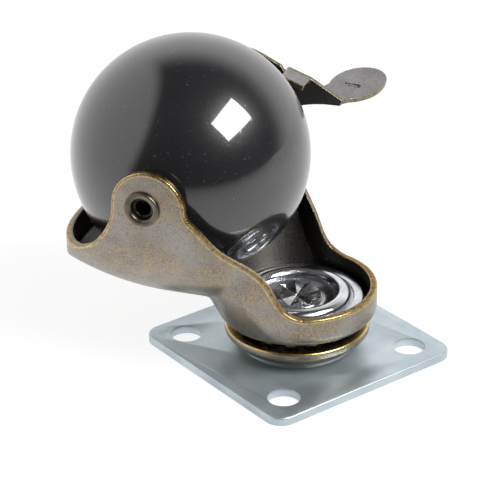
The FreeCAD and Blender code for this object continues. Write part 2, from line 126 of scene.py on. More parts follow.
def put(name: str, data: Any) -> Piece:
    """Put a new object with its data into the scene."""
    piece = bpy.data.objects.new(name, data)
    bpy.context.scene.collection.objects.link(piece)
    return piece


class Side(Enum):
    """Which side of the ball a piece of the axle is on."""

    NEAR = -1
    FAR = 1


@dataclass(frozen=True)
class Finish(ABC):
    """Base of all finishes: a principled shader with fine wear in its roughness and relief."""

    name: str
    slot: str
    base: str
    shade: str
    roughness: float
    metallic: float = 0.0

    def coordinates(self, tree: Tree) -> Link:
        """Give the coordinates that every pattern of the finish follows."""
        return (add_node(tree, "TexCoord"), "Object")

    def noise(self, tree: Tree, size_mm: float, detail: float = 3.0, rough: float = 0.5) -> Link:
        """Add a noise whose blotches are about size_mm across.

        Args:
            tree: the node tree.
            size_mm: the size of one blotch on the real piece.
            detail: octaves of finer noise.
            rough: strength of the finer octaves.

        Returns:
            The noise's factor output.
        """
        node = add_node(tree, "TexNoise", inputs={
            "Vector": self.coordinates(tree), "Scale": 1 / (size_mm * MM),
            "Detail": detail, "Roughness": rough})
        return (node, "Fac")

    def mapped(self, tree: Tree, factor: Link, low: float, high: float,
               to_low: float = 0.0, to_high: float = 1.0) -> Link:
        """Map a factor's range to another one, clamped."""
        node = add_node(tree, "MapRange", inputs={
            "Value": factor, "From Min": low, "From Max": high, "To Min": to_low, "To Max": to_high})
        return (node, "Result")

    def mixed(self, tree: Tree, factor: Any, first: Any, second: Any) -> Link:
        """Mix two colours by a factor."""
        return (add_node(tree, "Mix", {"data_type": "RGBA"}, {0: factor, 6: first, 7: second}), 2)

    def tones(self, tree: Tree, factor: Link, low: float, high: float) -> Link:
        """Go from the base tone to the shade as a factor goes from low to high."""
        return self.mixed(tree, self.mapped(tree, factor, low, high), self.base, self.shade)

    def bump(self, tree: Tree, height: Link, depth_mm: float, strength: float = 1.0,
             under: Optional[Link] = None) -> Link:
        """Add a relief of a real depth."""
        inputs: Sockets = {"Height": height, "Distance": depth_mm * MM, "Strength": strength}
        if under:
            inputs["Normal"] = under
        return (add_node(tree, "Bump", inputs=inputs), "Normal")

    def product(self, tree: Tree, first: Any, second: Any) -> Link:
        """Multiply two factors and keep the result between zero and one."""
        return (add_node(tree, "Math", {"operation": "MULTIPLY", "use_clamp": True},
                         {0: first, 1: second}), 0)

    def marked(self, tree: Tree, attribute: str) -> Link:
        """Read a mark that the piece's vertices carry."""
        return (add_node(tree, "Attribute", {"attribute_name": attribute}), "Fac")

    @abstractmethod
    def dress(self, tree: Tree) -> Sockets:
        """Give the finish's patterns, by the shader's sockets that they go into."""

    def roughened(self, tree: Tree, grain: Link, less: float, more: float) -> Link:
        """Give a roughness that follows a noise, from less than the finish's own to more."""
        return self.mapped(tree, grain, *NOISE_RANGE, self.roughness - less, self.roughness + more)

    def material(self) -> bpy.types.Material:
        """Build the material, or give the one that is already there."""
        made = bpy.data.materials.get(self.name)
        if made:
            return made
        made = bpy.data.materials.new(self.name)
        tree = emptied(made)
        shader = add_node(tree, "BsdfPrincipled", inputs={
            "Base Color": self.base, "Roughness": self.roughness, "Metallic": self.metallic})
        add_node(tree, "OutputMaterial", inputs={"Surface": (shader, "BSDF")})
        fill(tree, shader, self.dress(tree))
        made.diffuse_color = linear(self.base)
        return made


@dataclass(frozen=True)
class AntiqueBrass(Finish):
    """Brass plate on pressed steel, blackened in a bath and tumbled until the gold comes through.

    The skin is a mottled grey-brown with fine gold dust in clusters. Sheared rims are brown gold with
    dark nicks, their rounded corners are rubbed to bright gold, and the inner faces get a near-black painted
    shade.
    """

    pit: str = "#57504a"
    fleck: str = "#b59a62"
    sheared: str = "#9a7f50"
    rubbed: str = "#e6c883"
    nick: str = "#4f3d22"
    # Near-black painted shade for faces turned inwards. It stands in for the shade there and for the dark
    # ball reflected in them.
    painted_shade: str = "#625f5b"
    fleck_size_mm: float = 0.30
    fleck_start: float = 0.50
    fleck_ramp: float = 0.12
    cluster_size_mm: float = 6.5
    blotch_size_mm: float = 7.0
    nick_size_mm: float = 0.7
    grain_depth_mm: float = 0.012
    rough_swing: float = 0.08
    rim_roughness: float = 0.27
    dull_band: Pair = (0.70, 0.86)
    line_rise: Pair = (0.62, 0.70)
    line_fall: Pair = (0.80, 0.74)

    def dress(self, tree: Tree) -> Sockets:
        """Lay out the blotches, pits, gold clusters, rubbed rims and the painted shade on the inner faces.
        """
        skin = self.tones(tree, self.noise(tree, self.blotch_size_mm, 5.0, 0.6), 0.36, 0.64)
        fine = self.noise(tree, self.fleck_size_mm, 2.0, 0.6)
        pits = self.mapped(tree, fine, 0.45, 0.30, 0.0, 0.5)
        pitted = self.mixed(tree, pits, skin, self.pit)
        cluster = self.mapped(tree, self.noise(tree, self.cluster_size_mm, 4.0, 0.6), 0.42, 0.60, 0.05, 1.0)
        worn = self.marked(tree, "worn")
        where = add_node(tree, "Math", {"operation": "MAXIMUM"}, {0: cluster, 1: worn})
        grains = self.mapped(tree, fine, self.fleck_start, self.fleck_start + self.fleck_ramp, 0.0, 0.9)
        flecked = self.mixed(tree, self.product(tree, grains, (where, 0)), pitted, self.fleck)
        scratch = self.noise(tree, self.nick_size_mm, 4.0, 0.65)
        dull = self.mixed(tree, self.mapped(tree, scratch, 0.48, 0.60, 0.0, 0.8), self.sheared, self.nick)
        beside = self.mapped(tree, worn, *self.dull_band, 0.0, 0.6)
        darkened = self.mixed(tree, beside, flecked, dull)
        line = self.product(tree, self.mapped(tree, worn, *self.line_rise),
                            self.mapped(tree, worn, *self.line_fall))
        broken = self.product(tree, line, self.mapped(tree, scratch, 0.58, 0.44, 0.15, 0.75))
        lined = self.mixed(tree, broken, darkened, self.rubbed)
        rimmed = self.mixed(tree, self.marked(tree, "sheared"), lined, dull)
        unnicked = self.mapped(tree, scratch, 0.64, 0.54, 0.35, 1.0)
        rim = self.product(tree, self.marked(tree, "rubbed"), unnicked)
        gold = self.mixed(tree, rim, rimmed, self.rubbed)
        rough = self.mapped(tree, fine, 0.35, 0.7,
                            self.roughness + self.rough_swing, self.roughness - self.rough_swing)
        smooth_rim = add_node(tree, "Mix", {"data_type": "FLOAT"}, {0: rim, 2: rough, 3: self.rim_roughness})
        # The painted shade on the inner faces is laid over all the rest.
        return {"Base Color": self.mixed(tree, self.marked(tree, "painted_shade"), gold, self.painted_shade),
                "Roughness": (smooth_rim, 0), "Normal": self.bump(tree, fine, self.grain_depth_mm, 0.5)}


@dataclass(frozen=True)
class ZincPlate(Finish):
    """Bright zinc with a blue passivation on rolled steel: cool, cloudy and softly reflecting."""

    cloud_size_mm: float = 9.0
    spangle_size_mm: float = 0.6
    roll_spacing_mm: float = 0.5
    roll_stretch: float = 0.08
    roll_depth_mm: float = 0.003

    def dress(self, tree: Tree) -> Sockets:
        """Lay out the clouds, the fine spangle and the faint rolling lines."""
        cloud = self.noise(tree, self.cloud_size_mm, 4.0)
        spangle = self.noise(tree, self.spangle_size_mm, 3.0, 0.6)
        stretch = add_node(tree, "Mapping", inputs={
            "Vector": self.coordinates(tree), "Scale": (1.0, self.roll_stretch, 1.0)})
        lines = add_node(tree, "TexNoise", inputs={
            "Vector": (stretch, "Vector"), "Scale": 1 / (self.roll_spacing_mm * MM), "Detail": 1.0})
        return {"Base Color": self.tones(tree, cloud, 0.36, 0.66),
                "Roughness": self.roughened(tree, spangle, 0.04, 0.05),
                "Normal": self.bump(tree, (lines, "Fac"), self.roll_depth_mm, 0.2)}


@dataclass(frozen=True)
class BrightNickel(Finish):
    """Bright nickel plate on a pressed washer: near-mirror, with turning rings too fine to feel."""

    ring_spacing_mm: float = 1.885
    ring_depth_mm: float = 0.004
    cloud_size_mm: float = 2.5

    def dress(self, tree: Tree) -> Sockets:
        """Lay out the rings about the swivel axis and a few rubbed clouds."""
        rings = add_node(tree, "TexWave",
                         {"wave_type": "RINGS", "rings_direction": "Z", "wave_profile": "SIN"},
                         {"Vector": self.coordinates(tree), "Detail": 2.0, "Detail Scale": 3.0,
                          "Distortion": 1.2, "Scale": WAVE_PERIOD / (self.ring_spacing_mm * MM)})
        cloud = self.noise(tree, self.cloud_size_mm, 4.0, 0.6)
        return {"Base Color": self.tones(tree, cloud, 0.35, 0.7),
                "Roughness": self.mapped(tree, cloud, 0.3, 0.75, self.roughness, self.roughness + 0.12),
                "Normal": self.bump(tree, (rings, "Fac"), self.ring_depth_mm, 0.25)}


@dataclass(frozen=True)
class PeenedSteel(Finish):
    """Bright steel with the small dents and smears that the riveting punch leaves."""

    dent_size_mm: float = 0.9
    dent_depth_mm: float = 0.05

    def dress(self, tree: Tree) -> Sockets:
        """Lay out the dents and the smears."""
        dents = self.noise(tree, self.dent_size_mm, 3.0, 0.6)
        return {"Base Color": self.tones(tree, dents, 0.35, 0.7),
                "Roughness": self.roughened(tree, dents, 0.06, 0.10),
                "Normal": self.bump(tree, dents, self.dent_depth_mm, 0.30)}


@dataclass(frozen=True)
class DullSteel(Finish):
    """Darkened or drawn steel: fine grain, little gloss, oily clouds."""

    grain_size_mm: float = 0.4
    grain_depth_mm: float = 0.010
    cloud_size_mm: float = 3.0

    def dress(self, tree: Tree) -> Sockets:
        """Lay out the grain and the clouds."""
        grain = self.noise(tree, self.grain_size_mm, 3.0, 0.6)
        cloud = self.noise(tree, self.cloud_size_mm)
        return {"Base Color": self.tones(tree, cloud, 0.35, 0.68),
                "Roughness": self.roughened(tree, grain, 0.06, 0.08),
                "Normal": self.bump(tree, grain, self.grain_depth_mm, 0.5)}


@dataclass(frozen=True)
class GlossPlastic(Finish):
    """Moulded gloss plastic, near black: deep, with faint swirls and pin-head dust marks."""

    swirl_size_mm: float = 14.0
    speck_size_mm: float = 0.8
    speck_depth_mm: float = 0.0012
    dust: str = "#67676a"
    dust_size_mm: float = 0.45
    wave_size_mm: float = 9.0
    wave_depth_mm: float = 0.010
    refraction: float = 1.6
    shine: float = 0.70
    haze: float = 0.7
    haze_roughness: float = 0.30

    def dress(self, tree: Tree) -> Sockets:
        """Lay out the faint swirls, the dust, the dull specks and the slow waves of the moulding."""
        clean = self.tones(tree, self.noise(tree, self.swirl_size_mm, 5.0, 0.6), 0.35, 0.68)
        grains = self.mapped(tree, self.noise(tree, self.dust_size_mm, 2.0, 0.5), 0.68, 0.76, 0.0, 0.7)
        specks = self.noise(tree, self.speck_size_mm, 2.0, 0.5)
        relief = self.bump(tree, specks, self.speck_depth_mm, 0.5)
        waves = self.noise(tree, self.wave_size_mm, 2.0)
        return {"Base Color": self.mixed(tree, grains, clean, self.dust),
                "Roughness": self.mapped(tree, specks, 0.60, 0.74, self.roughness, self.roughness + 0.16),
                "Normal": self.bump(tree, waves, self.wave_depth_mm, 0.5, relief),
                "IOR": self.refraction, "Specular IOR Level": self.shine,
                "Coat Weight": self.haze, "Coat Roughness": self.haze_roughness}


@dataclass(frozen=True)
class Nylon(Finish):
    """Natural nylon, turned: creamy and waxy, with a fine grain from the tool."""

    cloud_size_mm: float = 2.0
    grain_size_mm: float = 0.35
    grain_depth_mm: float = 0.006

    def dress(self, tree: Tree) -> Sockets:
        """Lay out the waxy clouds and the turning grain."""
        cloud = self.noise(tree, self.cloud_size_mm)
        grain = self.noise(tree, self.grain_size_mm, 2.0)
        return {"Base Color": self.tones(tree, cloud, 0.35, 0.68),
                "Roughness": self.roughened(tree, grain, 0.05, 0.06),
                "Normal": self.bump(tree, grain, self.grain_depth_mm, 0.4)}


HOUSING_FINISH = AntiqueBrass("antique_brass_plate", "antique_brass", "#a29d95", "#8b857e", 0.33, 1.0)
LEVER_FINISH = AntiqueBrass("worn_antique_brass_plate", "antique_brass", "#a8a5a6", "#949092", 0.34, 1.0,
                            fleck="#b3a98f", sheared="#8f8468", rubbed="#d6cba8", nick="#55503f",
                            fleck_start=0.60)
PLATE_FINISH = ZincPlate("blue_zinc_plate", "zinc_plate", "#d2dee4", "#b6c3ca", 0.38, 0.78)
CAP_FINISH = BrightNickel("bright_nickel_plate", "bright_cap", "#eceef1", "#d6d9de", 0.17, 1.0)
PIN_FINISH = PeenedSteel("peened_bright_steel", "pin_steel", "#dededf", "#b9b9bb", 0.19, 1.0)
BEARING_FINISH = BrightNickel("greased_bearing_steel", "bearing_steel", "#8f8c86", "#6c6962", 0.22, 1.0)
BALL_FINISH = GlossPlastic("black_gloss_plastic", "ball_plastic", "#1f1f21", "#262628", 0.05)
BUSH_FINISH = Nylon("turned_natural_nylon", "bush_nylon", "#8d887b", "#7b7567", 0.42)
EYELET_FINISH = DullSteel("darkened_eyelet_steel", "eyelet_steel", "#857c70", "#575048", 0.38, 1.0)
AXLE_FINISH = DullSteel("drawn_axle_steel", "axle_steel", "#4a4845", "#2e2c2a", 0.40, 1.0)


@dataclass
class Axes:
    """Where the swivelling half stands: its middle and its own directions in the shared frame."""

    middle: Vector
    axle: Vector
    along: Vector

    @classmethod
    def from_frame(cls) -> "Axes":
        """Read the ball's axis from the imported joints."""
        joint = next(j for j in frame["joints"] if j["name"] == "ball_spin")
        axle = Vector(joint["axis"]).normalized()
        return cls(Vector(joint["pos_m"]), axle, Vector((axle.y, -axle.x, 0.0)))

    def axle_matrix(self, side: Side = Side.FAR) -> Matrix:
        """Matrix that takes local +Z onto the axle's line, outwards on one side of the ball."""
        out = self.axle * side.value
        up = Vector((0, 0, 1))
        turn = Matrix((up.cross(out).normalized(), up, out)).transposed()
        return Matrix.Translation(self.middle) @ turn.to_4x4()


AXES = Axes.from_frame()


def deselect_all() -> None:
    """Leave nothing selected."""
    if bpy.context.object and bpy.context.object.mode != "OBJECT":
        bpy.ops.object.mode_set(mode="OBJECT")
    bpy.ops.object.select_all(action="DESELECT")


def activate(piece: Piece) -> None:
    """Select one object alone and make it the active one."""
    deselect_all()
    piece.select_set(True)
    bpy.context.view_layer.objects.active = piece


def smooth(piece: Piece, angle_degrees: float) -> None:
    """Shade a piece smooth, with edges sharper than the angle kept crisp."""
    activate(piece)
    bpy.ops.object.shade_smooth_by_angle(angle=math.radians(angle_degrees), keep_sharp_edges=False)


def apply_modifiers(piece: Piece) -> None:
    """Apply every modifier of a piece, in order."""
    activate(piece)
    for name in [m.name for m in piece.modifiers]:
        bpy.ops.object.modifier_apply(modifier=name)


def bevel(piece: Piece, width_mm: float, segments: int, angle_degrees: float) -> None:
    """Round the sharp edges of a piece by a real width."""
    modifier = piece.modifiers.new("rounded", "BEVEL")
    modifier.width = width_mm * MM
    modifier.segments = segments
    modifier.limit_method = "ANGLE"
    modifier.angle_limit = math.radians(angle_degrees)
    modifier.use_clamp_overlap = True
    apply_modifiers(piece)


def arc(centre: Pair, radius: float, start: float, end: float, steps: int) -> Profile:
    """Points of an arc in a profile, from start to end in degrees, both ends included."""
    points: Profile = []
    for index in range(steps + 1):
        angle = math.radians(start + (end - start) * index / steps)
        points.append((centre[0] + radius * math.cos(angle), centre[1] + radius * math.sin(angle)))
    return points


def copy_of_node(node: str, name: str, flat_degrees: float = 0.6) -> Piece:
    """Copy a CAD node's mesh into a new piece, with its doubles merged and its flats cleaned.

    Args:
        node: the CAD node.
        name: the new piece's name.
        flat_degrees: faces that meet flatter than this are joined.

    Returns:
        The new piece, at the origin.
    """
    mesh = frame["nodes"][node].data.copy()
    mesh.name = name
    piece = put(name, mesh)
    mesh.materials.clear()
    activate(piece)
    bpy.ops.object.mode_set(mode="EDIT")
    bpy.ops.mesh.select_all(action="SELECT")
    bpy.ops.mesh.remove_doubles(threshold=CAD_MERGE_MM * MM)
    if flat_degrees:
        bpy.ops.mesh.dissolve_limited(angle_limit=math.radians(flat_degrees))
    bpy.ops.object.mode_set(mode="OBJECT")
    return piece


def settle(piece: Piece, body: str, finish: Finish, replaced: Iterable[str] = ()) -> Piece:
    """Give a finished piece its material, its body and the nodes that it stands for."""
    piece.data.materials.clear()
    piece.data.materials.append(finish.material())
    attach(piece, body)
    if replaced:
        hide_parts(*replaced)
    triangles = sum(len(p.vertices) - 2 for p in piece.data.polygons)
    LOG.info("%s rides on %s with %d triangles", piece.name, body, triangles)
    return piece


def spun_piece(name: str, profile: Profile, segments: int, place: Matrix,
               smooth_degrees: float = 35.0) -> Piece:
    """Turn a piece from its profile.

    Args:
        name: the piece's name.
        profile: (radius, height) points in millimetres, in order. A ring's profile is closed here,
            and one that starts and ends on the axis stays open.
        segments: steps round the piece.
        place: matrix from the piece's own axis, local +Z, to the shared frame.
        smooth_degrees: edges flatter than this are shaded smooth.

    Returns:
        The turned piece, with its place in its mesh.
    """
    points = profile + profile[:1] if profile[0][0] > 0 else profile
    deselect_all()
    bpy.ops.mesh.primitive_plane_add(size=MM)
    piece = bpy.context.object
    piece.name = name
    piece.data.name = name
    bpy.ops.object.mode_set(mode="EDIT")
    bpy.ops.mesh.select_all(action="SELECT")
    bpy.ops.mesh.merge(type="CENTER")
    here = (0.0, 0.0)
    for index, (radius, height) in enumerate(points):
        step = ((radius - here[0]) * MM, 0.0, (height - here[1]) * MM)
        if index == 0:
            bpy.ops.transform.translate(value=step)
        else:
            bpy.ops.mesh.extrude_region_move(TRANSFORM_OT_translate={"value": step})
        here = (radius, height)
    bpy.ops.mesh.select_all(action="SELECT")
    bpy.ops.mesh.remove_doubles(threshold=SPIN_MERGE_MM * MM)
    bpy.ops.mesh.spin(steps=segments, angle=math.tau, center=(0, 0, 0), axis=(0, 0, 1))
    bpy.ops.mesh.select_all(action="SELECT")
    bpy.ops.mesh.remove_doubles(threshold=SPIN_MERGE_MM * MM)
    bpy.ops.mesh.normals_make_consistent(inside=False)
    bpy.ops.object.mode_set(mode="OBJECT")
    piece.data.transform(place)
    smooth(piece, smooth_degrees)
    return piece


def rounded(corners: Profile, radius: float, steps: int = 3) -> Profile:
    """Round every corner of a closed profile by an arc of nearly one radius."""
    points: Profile = []
    count = len(corners)
    for index, corner in enumerate(corners):
        here = Vector(corner)
        before = Vector(corners[index - 1]) - here
        after = Vector(corners[(index + 1) % count]) - here
        turn = before.angle(after)
        reach = min(radius / math.tan(turn / 2), before.length * ROUNDED_SHARE, after.length * ROUNDED_SHARE)
        start = here + before.normalized() * reach
        end = here + after.normalized() * reach
        for step in range(steps + 1):
            share = step / steps
            point = start.lerp(here, share).lerp(here.lerp(end, share), share)
            points.append((point.x, point.y))
    return points


def placed(steps: Steps, radius: float, height: float) -> Profile:
    """Put a run of small steps of a profile at a radius and a height."""
    return [(radius + out, height + up) for out, up in steps]


@dataclass(frozen=True)
class Reach:
    """How far a CAD node reaches along a line and out from it, in millimetres."""

    low: float
    high: float
    radius: float
    bore: float
    rim_top: float
    foot: float

    @classmethod
    def of(cls, node: str, place: Matrix) -> "Reach":
        """Measure a node about the local +Z of a place.

        Args:
            node: the CAD node.
            place: matrix whose local +Z is the line.

        Returns:
            Its ends, its outer radius and bore, the top of its outer wall and its foot's radius.
        """
        back = place.inverted()
        near = 0.05
        points = [back @ v.co / MM for v in frame["nodes"][node].data.vertices]
        rings = [(math.hypot(p.x, p.y), p.z) for p in points]
        low = min(z for _, z in rings)
        radius = max(r for r, _ in rings)
        return cls(low, max(z for _, z in rings), radius, min(r for r, _ in rings),
                   max(z for r, z in rings if r > radius - near), max(r for r, z in rings if z < low + near))


@dataclass
class PressedSheet:
    """A piece pressed from sheet, with sheared rims that tumbling has rounded and rubbed."""

    sheet_mm: float = 1.2
    mesh_mm: float = 0.17
    rounding_steps: int = 5
    kept_share: float = 0.4
    rim_depth: float = 1.5
    rubbed_depth_mm: float = 0.05
    rubbed_reach_mm: float = 0.4
    worn_mm: float = 1.6
    crease_steps: int = 70
    smoothing: float = 0.5
    soft_from: float = 0.5
    probe_mm: float = 0.05

    def pressed(self, node: str, name: str, painted_shade: Callable[[Vector, Vector], float],
                may_be_rim: PointTest) -> Piece:
        """Copy a CAD node with an even mesh and rounded rims, and mark where it is worn and where it gets
        painted shade.

        Args:
            node: the CAD node.
            name: the new piece's name.
            painted_shade: gives how much painted shade a point gets, from zero to one, from its place and
                its normal.
            may_be_rim: tells whether a point can lie on a sheared rim, from the same two.

        Returns:
            The new piece, with its rubbed, sheared and worn marks and the mark of its painted shade.
        """
        piece = copy_of_node(node, name, 0.0)
        points = [v.co.copy() for v in piece.data.vertices]
        solid = BVHTree.FromPolygons(points, [list(p.vertices) for p in piece.data.polygons])
        even = piece.modifiers.new("even", "REMESH")
        even.mode = "VOXEL"
        even.voxel_size = self.mesh_mm * MM
        fitted = piece.modifiers.new("fitted", "SHRINKWRAP")
        fitted.target = frame["nodes"][node]
        rounding = piece.modifiers.new("rounding", "SMOOTH")
        rounding.factor = self.smoothing
        rounding.iterations = self.rounding_steps
        apply_modifiers(piece)
        mesh = piece.data
        if self.crease_steps:
            self.soften_creases(piece, self.distance_to_rims(solid, mesh, may_be_rim))
        thinned = piece.modifiers.new("thinned", "DECIMATE")
        thinned.ratio = self.kept_share
        apply_modifiers(piece)
        distances = self.distance_to_rims(solid, mesh, may_be_rim)
        reach = self.rubbed_reach_mm * MM
        self.mark(mesh, "sheared", [float(distance == 0.0) for distance in distances])
        self.mark(mesh, "rubbed", [self.rubbed_away(solid, v.co) * float(distances[v.index] < reach)
                                   for v in mesh.vertices])
        self.mark(mesh, "worn", [max(0.0, 1.0 - distance / (self.worn_mm * MM)) for distance in distances])
        # Faces that the shade test picks get the painted shade; sheared rims never do.
        self.mark(mesh, "painted_shade", [painted_shade(v.co, v.normal) * float(distances[v.index] > 0.0)
                                   for v in mesh.vertices])
        return piece

    def distance_to_rims(self, solid: BVHTree, mesh: bpy.types.Mesh, may_be_rim: PointTest) -> list[float]:
        """Give each vertex its distance to the nearest sheared rim: zero on the rim itself."""
        sheared = [self.is_sheared(solid, vertex, may_be_rim) for vertex in mesh.vertices]
        rims = KDTree(sum(sheared))
        for vertex in mesh.vertices:
            if sheared[vertex.index]:
                rims.insert(vertex.co, vertex.index)
        rims.balance()
        return [0.0 if sheared[v.index] else rims.find(v.co)[2] for v in mesh.vertices]

    def soften_creases(self, piece: Piece, distances: list[float]) -> None:
        """Draw the sheet's bends out softly, more and more from the edge of the worn band on."""
        group = piece.vertex_groups.new(name="bends")
        for index, distance in enumerate(distances):
            share = distance / (self.worn_mm * MM) - self.soft_from
            group.add([index], min(1.0, max(0.0, share)), "REPLACE")
        soft = piece.modifiers.new("soft_bends", "SMOOTH")
        soft.factor = self.smoothing
        soft.iterations = self.crease_steps
        soft.vertex_group = group.name
        apply_modifiers(piece)
        piece.vertex_groups.clear()

    def is_sheared(self, solid: BVHTree, vertex: bpy.types.MeshVertex, may_be_rim: PointTest) -> bool:
        """Tell a sheared rim: under its CAD face the metal is deeper than the sheet is thick."""
        surface, normal = solid.find_nearest(vertex.co)[:2]
        if not may_be_rim(surface, normal):
            return False
        distance = solid.ray_cast(surface - normal * self.probe_mm * MM, -normal)[3]
        return distance is not None and distance > self.rim_depth * self.sheet_mm * MM

    def rubbed_away(self, solid: BVHTree, place: Vector) -> float:
        """Tell how much a corner lost to its rounding: one where the metal is rubbed bright."""
        surface, normal = solid.find_nearest(place)[:2]
        depth = (surface - place).dot(normal) / (self.rubbed_depth_mm * MM)
        return min(1.0, max(0.0, depth))

    @staticmethod
    def mark(mesh: bpy.types.Mesh, name: str, values: list[float]) -> None:
        """Write one value for each vertex into a named mark."""
        mesh.attributes.new(name, "FLOAT", "POINT").data.foreach_set("value", values)


@dataclass
class SwivelBase:
    """Plate, races, bearing balls, cap and king pin: what stays still under the swivel."""

    body: str = "plate"
    plate_edge_mm: float = 0.10
    race_sheet_mm: float = 1.2
    race_round_mm: float = 0.5
    race_rubbed_mm: float = 0.22
    race_segments: int = 144
    cap_sheet_mm: float = 0.9
    cap_seat_mm: float = 5.0
    cap_dome_inner_mm: float = 6.2
    cap_dome_foot_mm: float = 0.35
    cap_lip_mm: float = 1.6
    cap_groove_mm: float = 0.4
    cap_edge_mm: float = 0.5
    cap_round_mm: float = 0.3
    cap_round_steps: int = 4
    cap_lip_fall_mm: Steps = ((0.16, 0.0), (0.05, -0.04), (-0.05, -0.16), (-0.18, -0.42))
    cap_seat_bend_mm: Steps = ((0.25, 0.12), (0.0, 0.02), (-0.3, 0.0))
    cap_segments: int = 160
    pin_round_mm: float = 0.14
    upright: Matrix = field(default_factory=Matrix)

    def build(self) -> None:
        """Build and dress every piece of the base."""
        self.plate()
        self.lower_race()
        self.cap()
        self.king_pin()
        self.dressed_nodes()

    def plate(self) -> None:
        """Square plate with its raised middle, with a fine break on every sharp edge."""
        piece = copy_of_node("mounting_plate", "square_plate")
        bevel(piece, self.plate_edge_mm, 2, 40)
        smooth(piece, 30)
        settle(piece, self.body, PLATE_FINISH, ["mounting_plate"])

    def lower_race(self) -> None:
        """Pressed cup of the lower race, with a bent foot and a rounded rim that is rubbed bright."""
        reach = Reach.of("lower_race", self.upright)
        sheet = self.race_sheet_mm
        slope = reach.radius - reach.foot
        inner = 0.4 * sheet
        corners = [(reach.bore, reach.low), (reach.foot, reach.low),
                   (reach.radius, reach.low + slope), (reach.radius, reach.high),
                   (reach.radius - sheet, reach.high), (reach.radius - sheet, reach.low + slope + inner),
                   (reach.foot - inner, reach.low + sheet), (reach.bore, reach.low + sheet)]
        profile = rounded(corners, self.race_round_mm, 5)
        piece = spun_piece("lower_race_cup", profile, self.race_segments, self.upright)
        rubbed_from = (reach.high - self.race_rubbed_mm) * MM
        PressedSheet.mark(piece.data, "rubbed", [float(v.co.z > rubbed_from) for v in piece.data.vertices])
        settle(piece, self.body, HOUSING_FINISH, ["lower_race"])

    def cap(self) -> None:
        """Pressed bright cap: flat lip, groove, domed ring and the sunk seat of the pin's head."""
        reach = Reach.of("swivel_cap", self.upright)
        sheet = self.cap_sheet_mm
        lip_inner = reach.radius - self.cap_lip_mm
        dome_outer = lip_inner - self.cap_groove_mm
        middle = (dome_outer + self.cap_dome_inner_mm) / 2
        top = reach.rim_top
        half = (dome_outer - self.cap_dome_inner_mm) / 2
        dome = self.dome(middle, half, top - self.cap_dome_foot_mm, reach.high)
        hollow = self.dome(middle, half - 0.3 * sheet, top - 0.9 * sheet, reach.high - 1.2 * sheet)
        seat = reach.low + sheet
        inner = reach.radius - self.cap_edge_mm
        strip = [(reach.radius, top - sheet), (reach.radius, top), (inner, top), (inner, top - sheet)]
        edge = rounded(strip, self.cap_round_mm, self.cap_round_steps)[:2 * (self.cap_round_steps + 1)]
        profile = [(reach.bore, reach.low), (self.cap_seat_mm + 0.2 * sheet, reach.low)]
        profile += hollow[::-1] + [(dome_outer + 0.1, top - sheet)] + edge
        profile += placed(self.cap_lip_fall_mm, lip_inner, top) + [(dome_outer + 0.12, top - 0.50)] + dome
        profile += placed(self.cap_seat_bend_mm, self.cap_seat_mm, seat) + [(reach.bore, seat)]
        piece = spun_piece("swivel_cap_washer", profile, self.cap_segments, self.upright)
        settle(piece, self.body, CAP_FINISH, ["swivel_cap"])

    @staticmethod
    def dome(middle: float, half: float, foot: float, crest: float, steps: int = 22,
             fullness: float = 0.8) -> Profile:
        """Half an ellipse from its outer foot over the crest to its inner foot."""
        points: Profile = []
        for step in range(steps + 1):
            angle = math.pi * step / steps
            rise = (crest - foot) * math.sin(angle) ** fullness
            points.append((middle + half * math.cos(angle), foot + rise))
        return points

    def king_pin(self) -> None:
        """Riveted pin with its star head, with the punched ridges a little rounded."""
        piece = copy_of_node("king_pin", "riveted_king_pin", 0.3)
        bevel(piece, self.pin_round_mm, 3, 18)
        smooth(piece, 35)
        settle(piece, self.body, PIN_FINISH, ["king_pin"])

    def dressed_nodes(self) -> None:
        """Finish the bearing balls and the spacer, whose shapes are already right."""
        finishes = {"lower_bearing_balls": BEARING_FINISH, "upper_bearing_balls": BEARING_FINISH,
                    "pin_spacer": PIN_FINISH}
        for node, finish in finishes.items():
            frame["nodes"][node].data.materials[0] = finish.material()


